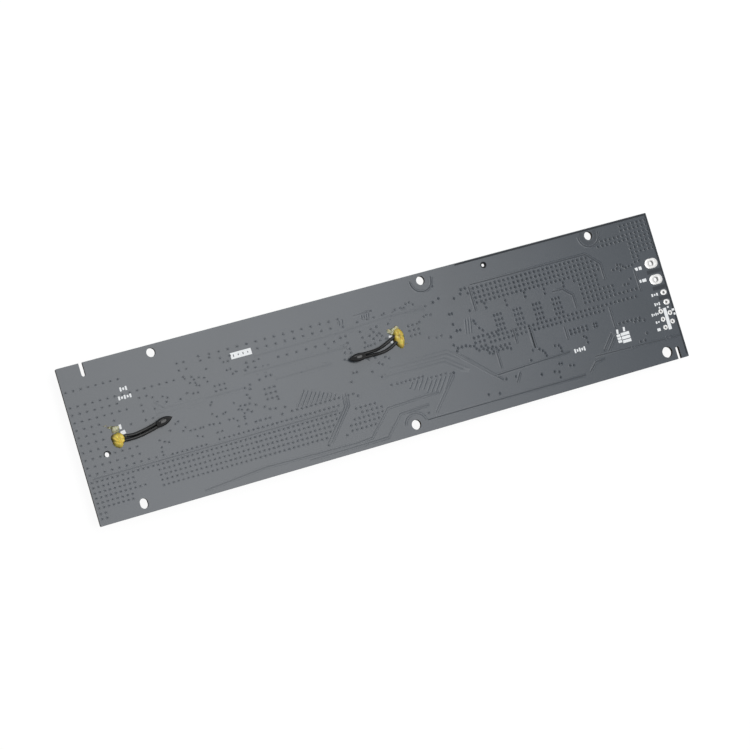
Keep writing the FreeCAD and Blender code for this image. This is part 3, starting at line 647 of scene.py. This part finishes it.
marks = [
    (-56.65, 18.5, 8.7, 2.5, 0), *label(-105.7, 17.3, 3.3, 1.6, 3), *label(-106.0, 14.1, 5.7, 1.5, 5),
    (-111.0, 3.5, 0.9, 1.8, 0), (-110.5, 1.1, 1.9, 1.5, 12), (5.0, 9.35, 1.7, 0.9, -10),
    (4.9, 7.1, 1.1, 0.9, 20), *[(100.8, y, 1.7, 1.05, 0) for y in (-15.1, -16.35, -17.6)],
    *[(103.9, y, 3.9, 1.25, 0) for y in (-14.95, -16.5, -18.05)], (100.8, -13.4, 0.9, 1.8, -8),
    (104.0, -13.1, 0.9, 1.8, -8), *label(82.3, -16.3, 5.4, 1.7, 5), (124.45, -13.8, 1.5, 9.2, 0),
    (117.4, 9.4, 1.3, 1.3, 0), (119.2, 9.4, 1.3, 1.4, 0), (117.4, 4.1, 1.3, 1.2, 0),
    (119.4, 4.1, 1.9, 1.3, 0), *label(122.0, -2.9, 3.4, 1.2, 3), *label(121.9, -6.9, 2.9, 1.3, 3),
    *label(119.6, -10.8, 3.6, 1.2, 4), *label(119.7, -14.2, 2.2, 1.0, 2), (119.3, -17.3, 1.5, 1.2, 0),
    (122.4, -8.6, 0.7, 0.7, 0), (126.2, -9.2, 0.8, 0.7, 0), (128.1, -10.8, 1.2, 0.9, 0),
    (128.3, -12.6, 0.9, 0.9, 0),
]
bars("white_print", marks, "white_print", face)
ticks = [(-59.8, 0.9), (-57.8, 0.6), (-55.8, 0.9), (-53.8, 0.6)]
ticks = [(x, 18.5, 0.4, height, 0) for x, height in ticks]
bars("box_ticks", ticks, "solder_mask", face + print_height)

# %% [markdown]
# ## Wire lands
# Each wire hole has a tinned land on both faces and a plated wall between them. Solder stands on a
# land as a low crown, highest between the hole and the rim. The whole land is one loop of rings:
# out to in over the lower crown, up the wall, in to out over the upper crown, and back through the
# board, where nobody looks.

# %% Crowned lands
crown_steps, land_sides = 6, 48
plating = 0.05 * mm


def wire_land(x, y, length, width, hole, thick):
    """Rings between the hole's circle and the land's outline. At share t from hole to rim, the crown
    stands thick * (0.45 + 0.55 sin(pi t) ^ 0.7) above the face, and comes down to it at the rim."""
    angle = circle(land_sides, 0.5)
    round_part = np.stack([np.cos(angle), np.sin(angle)], -1)
    reach = (length - width) / 2
    rim = round_part * width / 2 + np.stack([np.sign(np.cos(angle)) * reach, 0 * angle], -1)
    mouth = round_part * (hole - plating)
    share = np.linspace(0, 1, crown_steps)[:, None]
    lift = thick * (0.45 + 0.55 * np.sin(np.pi * share) ** 0.7)
    lift[-1] = -0.01 * mm
    across = mouth + (rim - mouth) * share[:, None]
    points = np.concatenate([raised(across, under - lift)[::-1], raised(across, face + lift)]) + (x, y, 0)
    return points, [grid_faces(*points.shape[:2], loop_rows=True, loop_columns=True)]


# Painted shade on the rings where the plating goes down into the hole, darkest at the mouth
mouth_shade = np.zeros((2 * crown_steps, land_sides))
mouth_shade[crown_steps - 1:crown_steps + 1] = 0.5
mouth_shade[[crown_steps - 2, crown_steps + 1]] = 0.15
land_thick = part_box("signal_wire_lands")[1].z - face
# Distance from the board's end, length, width, the hole's radius and heights across the board, in mm
land_sets = {
    "power_wire_lands": [(4.3, 6.0, 4.2, 1.1, (10.2, 3.2))],
    "charge_wire_lands": [(2.7, 2.9, 2.3, 0.5, (-2.8, -7.0))],
    "signal_wire_lands": [
        (6.5, 2.1, 2.1, 0.45, (-10.2, -13.6, -17.1)), (2.6, 2.1, 2.1, 0.45, (-11.7, -15.4)),
    ],
}
for name, groups in land_sets.items():
    parts = [
        wire_land(half_length - inset * mm, y * mm, length * mm, width * mm, hole * mm, land_thick)
        for inset, length, width, hole, heights in groups for y in heights
    ]
    shade = {"sunken": np.tile(mouth_shade.ravel(), len(parts))}
    crowned = make_piece("crowned_" + name, *gather(parts), "tinned_copper", shade)
    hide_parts(name)

# %% [markdown]
# ## Temperature probes
# A probe is a bead of glossy epoxy on two legs in black sleeving. The legs leave the glue a little
# apart, bend together and run side by side into the bead. Each leg is a circle carried along a
# smooth line through points read from the photograph. The bead is the same with a radius that
# changes. The line is a chain of cubics, so there is no kink where points meet.

# %% Smooth lines and swept bodies
def smooth_line(points, steps):
    """A chain of cubics through the points. At each point the slope is half the step between its two
    neighbours: p(t) = h00 p0 + h10 m0 + h01 p1 + h11 m1."""
    points = np.asarray(points, float)
    slopes = np.gradient(points, axis=0)
    place = np.linspace(0, len(points) - 1, steps)
    first = np.minimum(place.astype(int), len(points) - 2)
    t = (place - first)[:, None]
    start, stop, leave, arrive = points[first], points[first + 1], slopes[first], slopes[first + 1]
    return ((2 * t**3 - 3 * t**2 + 1) * start + (t**3 - 2 * t**2 + t) * leave
            + (3 * t**2 - 2 * t**3) * stop + (t**3 - t**2) * arrive)


def sweep(line, radius, sides):
    """A circle of radius r(s) carried along a line: p + r (cos a side - sin a up), with side level."""
    ahead = np.gradient(line, axis=0)
    ahead /= np.linalg.norm(ahead, axis=1, keepdims=True)
    side = np.cross((0, 0, 1), ahead)
    side /= np.linalg.norm(side, axis=1, keepdims=True)
    lift = np.cross(ahead, side)
    angle = circle(sides)[:, None]
    radius = np.broadcast_to(radius, len(line))[:, None, None]
    return line[:, None] + radius * (np.cos(angle) * side[:, None] - np.sin(angle) * lift[:, None])


# %% Legs and beads
sleeve_radius, bead_radius = 0.64 * mm, 1.65 * mm
leg_steps, leg_sides, bead_sides = 60, 16, 32
bead_share = np.linspace(0, 1, 44)
lens = 1.045


def bead_profile(share):
    """Radius of the bead: a narrow neck swells to the widest place, and the rest tapers to a tip as
    (1 - u ^ 2) ^ 0.95, where u goes from 0 at the widest place to 1 at the tip."""
    widest = 0.44
    neck = 1 - 0.36 * (1 - np.minimum(share, widest) / widest) ** 2.2
    taper = (1 - ((np.maximum(share, widest) - widest) / (1 - widest)) ** 2.0) ** 0.95
    shoulder = np.clip(share / 0.05, 0.3, 1) ** 0.4
    return bead_radius * np.maximum(neck * taper * shoulder, 0.05)


# Two legs and a bead each, as (x, y, height over the board) in millimetres
probes = {
    "left_probe": (
        [(-113.2, -0.2, 1.0), (-111.2, -0.3, 1.1), (-107.0, -0.75, 1.0), (-103.2, -0.3, 1.1),
         (-99.4, 0.5, 1.4), (-96.4, 1.3, 1.7)],
        [(-113.2, -1.9, 1.0), (-111.0, -2.0, 1.1), (-106.8, -2.05, 1.0), (-102.9, -1.6, 1.1),
         (-98.9, -0.75, 1.4), (-96.1, 0.05, 1.7)],
        [(-97.8, 0.2, 1.7), (-95.4, 0.8, 1.7), (-93.0, 1.35, 1.7), (-90.6, 1.8, 1.66)],
    ),
    "middle_probe": (
        [(7.4, 9.5, 1.0), (5.2, 8.6, 1.1), (2.6, 7.4, 1.0), (0.5, 6.6, 1.0), (-1.5, 6.0, 1.1),
         (-4.3, 5.65, 1.4), (-9.4, 5.5, 1.7)],
        [(7.6, 7.3, 1.0), (5.7, 6.3, 1.1), (3.3, 5.1, 1.0), (0.6, 4.35, 1.0), (-2.5, 4.1, 1.1),
         (-5.2, 4.15, 1.4), (-9.4, 4.2, 1.7)],
        [(-8.0, 4.85, 1.7), (-10.4, 4.8, 1.7), (-12.8, 4.8, 1.7), (-15.1, 4.85, 1.66)],
    ),
}
lift = np.array([0, 0, face])
for name, (*legs, bead_points) in probes.items():
    lines = [smooth_line(np.array(leg) * mm, leg_steps) + lift for leg in legs]
    parts = [(sweep(line, sleeve_radius, leg_sides), tube_faces(leg_steps, leg_sides)) for line in lines]
    sleeves = make_piece(name + "_legs", *gather(parts), "black_sleeve", crease=60)
    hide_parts(name + "_sleeves")
    line = smooth_line(np.array(bead_points) * mm, len(bead_share)) + lift
    body = sweep(line, bead_profile(bead_share), bead_sides)
    middle = line[:, None, 2]
    body[:, :, 2] = middle + np.minimum((body[:, :, 2] - middle) * lens, bead_radius - 0.01 * mm)
    bead = make_piece(name + "_drop", body, tube_faces(*body.shape[:2]), "bead_epoxy", crease=60)
    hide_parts(name + "_bead")

# %% [markdown]
# ## Glue
# A lump of yellow glue holds the ends of the legs. The gun was drawn away, which left folds and a thin
# pale smear. Both are rings from a crown out to an uneven outline, with folds added to the height.

# %% Lumps and smears
def lump(x, y, reach, lobes, height, folds, fold_count, fullness, shaded_side, thin=0, crown=(0, 0), spot=0,
         shade=0):
    """Rings at share s from the crown to the outline, which is reach * (1 + sum of a cos(n (t - p))). The
    height is (1 - s ^ fullness) ^ 0.6, and the folds run out from the crown: 1 + folds s cos(n t + w).
    The crown stands off the middle, spot darkens it, and shade darkens the whole lump. Painted shade
    darkens the rim towards the outline, most on one side and on the side opposite to it, and in the
    troughs of the folds."""
    rings, sides = 22, 72
    angle = circle(sides)
    outline = 1 + sum(size * np.cos(count * (angle - phase)) for size, count, phase in lobes)
    share = np.linspace(0.04, 1, rings)[:, None]
    flat_x = share * outline * reach[0] * np.cos(angle) + (1 - share) * crown[0]
    flat_y = share * outline * reach[1] * np.sin(angle) + (1 - share) * crown[1]
    wave = np.cos(fold_count * angle + 1.4 * np.sin(2 * angle + 1) + 2.5 * share)
    rise = height * (1 - share**fullness) ** 0.6 * (1 + folds * share * wave)
    points = np.stack([x * mm + flat_x * mm, y * mm + flat_y * mm, face + (rise - 0.02) * mm], -1)
    # Painted shade: darker towards the outline on the shaded side and its opposite, and in fold troughs
    edge = np.clip((share - 0.62) / 0.38, 0, 1) ** 1.3 * (0.55 + 0.45 * np.cos(2 * (angle - shaded_side)))
    crease_shade = np.clip(-wave, 0, 1) * share * folds * 1.6
    rim = np.clip(shade + edge + crease_shade + spot * np.exp(-((share / 0.2) ** 2)), 0, 0.9)
    return points, tube_faces(rings, sides), np.full(rim.size, thin), rim.ravel()


glue_shapes = {
    "left_probe": [
        lump(-113.2, -1.15, (2.6, 2.95), [(0.08, 3, -1.7), (0.04, 5, 1.2)], 2.3, 0.22, 6, 3.4, -0.5,
             crown=(0.3, -1.2)),
        lump(-113.2, 3.0, (1.7, 1.5), [(0.12, 4, 0.6), (0.05, 5, 0.3)], 0.7, 0.35, 5, 2.2, 2.6, 1,
             (0.4, -0.2)),
        lump(-115.1, 4.3, (1.0, 0.55), [(0.2, 3, 0.6)], 0.3, 0.7, 4, 1.4, 1.9, 1, shade=0.4),
        lump(-116.6, 5.3, (0.9, 0.35), [(0.2, 3, 0.9)], 0.06, 0.9, 4, 1.0, 1.9, 1, shade=0.75),
        lump(-110.25, -0.55, (0.4, 0.36), [(0.1, 3, 0.6)], 2.1, 0.05, 3, 2.2, 1.9, 1),
    ],
    "middle_probe": [
        lump(7.95, 8.0, (2.4, 4.1), [(0.05, 3, 0.9), (0.04, 4, 0.2)], 2.5, 0.14, 5, 3.0, 0.3, 0,
             (-0.3, 0.8), 0.6, 0.16),
        lump(5.8, 11.4, (1.9, 1.3), [(0.16, 3, 0.5), (0.08, 5, 1.0)], 0.6, 0.35, 5, 2.2, 1.6, 1,
             (0.4, -0.3)),
        lump(8.1, 12.1, (1.2, 0.9), [(0.12, 3, 1.5)], 0.7, 0.2, 4, 2.2, 1.6, 0.9),
        lump(10.4, 5.0, (0.8, 0.3), [(0.2, 2, 0.5)], 0.08, 0.9, 3, 1.0, 0.4, 1, shade=0.75),
    ],
}
for name, lumps in glue_shapes.items():
    shades = {"thin": np.concatenate([p[2] for p in lumps]), "rim": np.concatenate([p[3] for p in lumps])}
    shapes = [lump_parts[:2] for lump_parts in lumps]
    glue = make_piece(name + "_glue_lump", *gather(shapes), "fixing_glue", shades, crease=70)
    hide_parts(name + "_glue")

# %% [markdown]
# ## The component face
# The board rests on its capacitors, with its components underneath. Their CAD bodies stay, with better
# finishes. Tin round every foot makes them look soldered. In the frame, a foot is a rectangle of two
# triangles that lie on the board. Both have the rectangle's own limits, so such limits give the feet.

# %% Solder round every foot
def corners_of(name):
    """Triangles of a node as an array of (triangle, corner, xyz)."""
    mesh = frame["nodes"][name].data
    places = np.empty(len(mesh.vertices) * 3)
    mesh.vertices.foreach_get("co", places)
    mesh.calc_loop_triangles()
    corner = np.empty(len(mesh.loop_triangles) * 3, int)
    mesh.loop_triangles.foreach_get("vertices", corner)
    return places.reshape(-1, 3)[corner].reshape(-1, 3, 3)


def feet_of(name):
    """Limits (low x, low y, high x, high y) of the flat faces that lie on the board's lower face."""
    corner = corners_of(name)
    lying = corner[np.all(np.abs(corner[:, :, 2] - under) < 0.02 * mm, axis=1)][:, :, :2]
    return np.unique(np.hstack([lying.min(axis=1), lying.max(axis=1)]).round(6), axis=0)


feet = np.vstack([feet_of(name) for name, slot in slot_of.items() if slot == "lead_frame"])
reach = np.minimum(0.3 * mm, 0.3 * np.minimum(feet[:, 2] - feet[:, 0], feet[:, 3] - feet[:, 1]))[:, None]
# How far the tin spreads and how high it stands, as shares of the reach
fillet = [(1.0, 0.0), (0.45, 0.12), (0.15, 0.35), (0.0, 0.8)]
foot_corners = feet[:, np.array([(0, 1), (2, 1), (2, 3), (0, 3)])]
rings = [
    raised(foot_corners + spread * reach[:, None] * square, under - rise * reach * 0.9)
    for spread, rise in fillet
]
solder_faces = repeated(tube_faces(len(fillet), 4), len(feet), len(fillet) * 4)
make_piece("solder_fillets", np.stack(rings, axis=1), solder_faces, "lead_frame")

# %% [markdown]
# The cans and the choke are turned bodies, so each is a profile of radius and height. A can has a rolled
# groove above its base and a rounded end with a dark field that shows which foot is negative. The choke
# is a ferrite spool, and each turn of its copper wire is one ripple of the profile.

# %% Cans and choke
def turned_piece(name, profile, sides, centres, finish_name, marks=None):
    """One turned body, repeated at each centre, in metres."""
    points, faces = copies(turned(profile, sides), tube_faces(len(profile), sides), centres)
    return make_piece(name, points, faces, finish_name, marks)


can_corners = corners_of("capacitor_cans").reshape(-1, 3)
quarter = can_corners[:, :2] > 0
groups = [can_corners[np.all(quarter == [x, y], axis=1)] for x in (True, False) for y in (True, False)]
can_centres = np.array([[*(group.min(axis=0) + group.max(axis=0))[:2] / 2, 0] for group in groups])
can_radius = np.ptp(groups[0][:, 0]) / 2
can_top = groups[0][:, 2].max()
can_sides = 48
bend = np.radians(np.linspace(0, 90, 6))
rim, groove = 0.55 * mm, 0.35 * mm
can_profile = np.vstack([
    [(0.3 * mm, can_top), (can_radius, can_top), (can_radius, can_top - groove)],
    np.column_stack([can_radius - groove * np.sin(np.linspace(0, np.pi, 7)),
                     can_top - np.linspace(0.4, 1.3, 7) * mm]),
    np.column_stack([can_radius - rim + rim * np.cos(bend), rim - rim * np.sin(bend)]),
    [(can_radius * 0.72, 0.0), (can_radius * 0.7, 0.04 * mm), (0.3 * mm, 0.04 * mm)],
])
on_end = np.zeros((len(can_profile), 1))
on_end[-4:] = 1
sector = {"sector": np.tile((on_end * (np.cos(circle(can_sides)) > 0.5)).ravel(), len(groups))}
cans = turned_piece("drawn_cans", can_profile, can_sides, can_centres, "can_aluminium", sector)
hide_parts("capacitor_cans")

drum_low, drum_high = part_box("choke_drum")
drum_middle = (drum_low + drum_high) / 2
drum_place = [[drum_middle.x, drum_middle.y, 0]]
radius = (drum_high.x - drum_low.x) / 2
top, bottom = drum_high.z, drum_low.z
flange, worn = 0.6 * mm, 0.1 * mm
spool_sides = 40
spool_profile = np.array([
    (0.3 * mm, top), (radius - worn, top), (radius, top - worn), (radius, top - flange),
    (radius * 0.6, top - flange), (radius * 0.6, bottom + flange), (radius, bottom + flange),
    (radius, bottom + worn), (radius - worn, bottom), (0.3 * mm, bottom),
])
spool = turned_piece("choke_spool", spool_profile, spool_sides, drum_place, "ferrite")
turns = 9
height = np.linspace(top - flange, bottom + flange, turns * 6 + 1)
ripple = np.abs(np.sin(np.linspace(0, turns * np.pi, len(height))))
winding_profile = np.column_stack([radius - 0.3 * mm + 0.16 * mm * ripple, height])
winding = turned_piece("choke_winding", winding_profile, spool_sides, drum_place, "copper_wire")
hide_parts("choke_drum")
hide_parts("choke_drum")

# %% [markdown]
# The vias go through, so the lower face has them too, and thin tracks bring each cell's voltage to the
# monitor. A track leaves its cell land, runs in a lane along the edge and turns again at a row of small
# parts. The cell that lies farthest takes the innermost lane, so that no track crosses another.

# %% Vias, tracks and outlines of the lower face
turned_over = turned(via_profile, via_sides) * (1, -1, -1)
# Painted shade in the dimples of the lower vias, as on the upper face
low_via_shade = np.tile(np.repeat(via_shade, via_sides), len(via_places))
low_vias = copies(turned_over, via_faces, raised(via_places, under))
make_piece("lower_vias", *low_vias, "solder_mask", {"sunken": low_via_shade})
boundaries = (np.arange(14) - 6.5) * cell_pitch / mm
row_low, row_high = (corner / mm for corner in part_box("filter_capacitor_caps"))
balance_low, balance_high = (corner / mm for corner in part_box("balance_resistor_caps"))
sense = []
for edge, taps_x, first_x, last_x, stop in (
    (-1, boundaries[::2], row_low.x, row_high.x, row_low.y - 1.0),
    (1, boundaries[1::2], balance_low.x, balance_high.x, balance_high.y + 1.0),
):
    ends = np.linspace(first_x, last_x, len(taps_x))
    left = taps_x < ends
    order = np.where(left, np.cumsum(left), np.arange(len(ends), 0, -1))
    lanes = edge * (25.3 - 0.8 * (order.max() - order))
    sense += [[(x, edge * 26.0), (x, y), (end, y), (end, stop)] for x, y, end in zip(taps_x, lanes, ends)]
ribbons("sense_tracks", sense, track_section * (0.7, 0.8), np.zeros(4), under, up=-1)

# %% Outlines in white
line_section = np.array([(-0.08, -0.01), (-0.08, 0.02), (0.08, 0.02), (0.08, -0.01)]) * mm
outlined = {
    "controller_leads": 0.5, "cell_monitor_leads": 0.5, "regulator_leads": 0.5, "line_driver_leads": 0.5,
    "choke_ring": 0.6, "fuse_caps": 0.6, "crystal_tray": 0.5, "rectifier_leads": 0.5,
    "discharge_transistor_frames": 0.6, "charge_transistor_frames": 0.6, "shunt_terminals": 0.6,
}
frames = []
for name, margin in outlined.items():
    low, high = (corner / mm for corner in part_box(name))
    x0, y0, x1, y1 = low.x - margin, low.y - margin, high.x + margin, high.y + margin
    ends = [(x0, y0), (x1, y0), (x1, y1), (x0, y1), (x0, y0)]
    frames += zip(ends, ends[1:])
lines = gather([ribbon(path, line_section, under, -1) for path in frames])
make_piece("white_outlines", *lines, "white_print", slot="solder_mask")

# %% [markdown]
# ## Floor and light
# The background is plain white. The floor gives that white itself to the camera, to reflections and
# to glass, and is an ordinary pale surface for the light that falls on the board, so it brightens
# nothing and still takes the shadow. One large soft lamp hangs off to the right. The satin mask
# mirrors it in the left half, and fades towards the right end as in the photograph.

# %% Floor
def seen_rays(tree):
    """1 for the rays that show a background to the eye: camera, glossy and transmission rays."""
    rays = add_node(tree, "ShaderNodeLightPath").outputs
    seen = math_node(tree, "MAXIMUM", rays["Is Camera Ray"], rays["Is Glossy Ray"])
    return math_node(tree, "MAXIMUM", seen, rays["Is Transmission Ray"])


floor_side = 6.0
floor_mesh = bpy.data.meshes.new("floor")
floor_mesh.from_pydata(raised(square * floor_side / 2, 0).tolist(), [], [(0, 1, 2, 3)])
floor = add_object("floor", floor_mesh)
floor_finish = bpy.data.materials.new("floor")
floor_finish.use_nodes = True
tree = floor_finish.node_tree
plain = add_node(tree, "ShaderNodeBsdfDiffuse", {"Color": (0.8, 0.8, 0.8, 1)})
glow = add_node(tree, "ShaderNodeEmission", {"Color": (1, 1, 1, 1), "Strength": 0.93})
dim = add_node(tree, "ShaderNodeBsdfDiffuse", {"Color": (0.1, 0.1, 0.1, 1)})
white = add_node(tree, "ShaderNodeAddShader", {0: glow.outputs[0], 1: dim.outputs[0]})
shown = {0: seen_rays(tree), 1: plain.outputs[0], 2: white.outputs[0]}
surface = add_node(tree, "ShaderNodeMixShader", shown).outputs[0]
tree.links.new(surface, tree.nodes["Material Output"].inputs["Surface"])
floor_mesh.materials.append(floor_finish)

# %% Lamps and world
def soft_lamp(name, place, aim, length, width, radiance):
    """A rectangular lamp at a place, facing a point. Its power is radiance * pi * area."""
    data = bpy.data.lights.new(name, "AREA")
    data.shape = "RECTANGLE"
    data.size, data.size_y = length, width
    data.energy = radiance * math.pi * length * width
    turn = (Vector(place) - Vector(aim)).to_track_quat("Z", "Y").to_matrix().to_4x4()
    add_object(name, data).matrix_world = Matrix.Translation(place) @ turn
    print(name, round(data.energy, 2), "W")


soft_lamp("overhead_lamp", (0.21, 0.06, 1.1), (0.21, 0.06, 0), 0.6, 1.0, 4.4)
soft_lamp("side_lamp", (-0.2, 1.0, 0.75), (0, 0, 0), 0.6, 0.4, 3.0)

world = bpy.data.worlds.new("studio")
bpy.context.scene.world = world
world.use_nodes = True
tree = world.node_tree
strength = ranged(tree, seen_rays(tree), 0, 1, 0.32, 1.0)
background = tree.nodes["Background"]
background.inputs["Color"].default_value = (1, 1, 1, 1)
tree.links.new(strength, background.inputs["Strength"])
